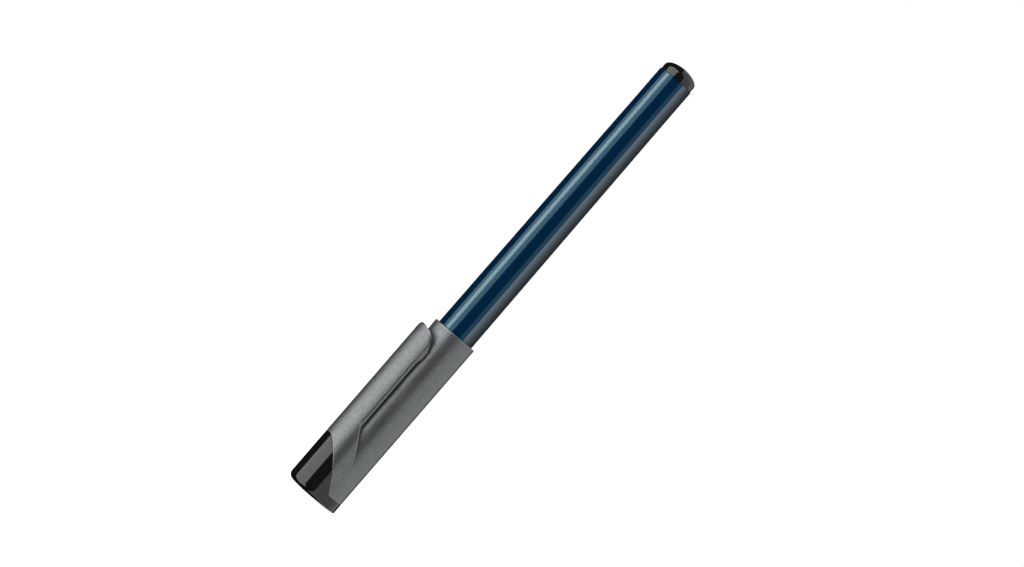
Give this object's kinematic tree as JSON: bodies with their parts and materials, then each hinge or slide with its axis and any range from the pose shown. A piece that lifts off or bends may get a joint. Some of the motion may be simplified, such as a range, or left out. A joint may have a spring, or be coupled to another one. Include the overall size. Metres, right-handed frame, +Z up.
{
  "type": "overhead projector marker",
  "caption": "Slim fibre-tip overhead projector marker with a tapered barrel, ribbed grip, ink reservoir, end plug and a pull-off cap with a moulded clip.",
  "frame": {"origin": "on the marker's axis, at the flat closed end of the cap on which it stands", "axes": "+Z up along the marker from the cap's closed end to the end plug, -Y to the front, where the clip is"},
  "size_m": [0.0126, 0.0155, 0.1421],
  "materials": {
    "sleeve_grey": "satin moulded polypropylene",
    "ink_black": "gloss moulded polypropylene",
    "barrel_navy": "gloss moulded polypropylene",
    "grip_grey": "semi-gloss moulded polypropylene",
    "holder_black": "gloss",
    "nib_fibre": "bonded fibre wet with ink",
    "reservoir_fibre": "fibre soaked with ink",
    "clear_film": "clear film"
  },
  "bodies": {
    "pen": {"barrel": "barrel_navy", "end_plug": "ink_black", "grip_section": "grip_grey", "nib_holder": "holder_black", "nib": "nib_fibre", "ink_reservoir": "reservoir_fibre", "reservoir_film": "clear_film"},
    "cap": {"cap_sleeve": "sleeve_grey", "cap_end": "ink_black"}
  },
  "joints": [
    {"name": "cap_slide", "type": "slide", "parent": "cap", "child": "pen", "axis": [0, 0, 1], "range_m": [0, 0.06]}
  ]
}
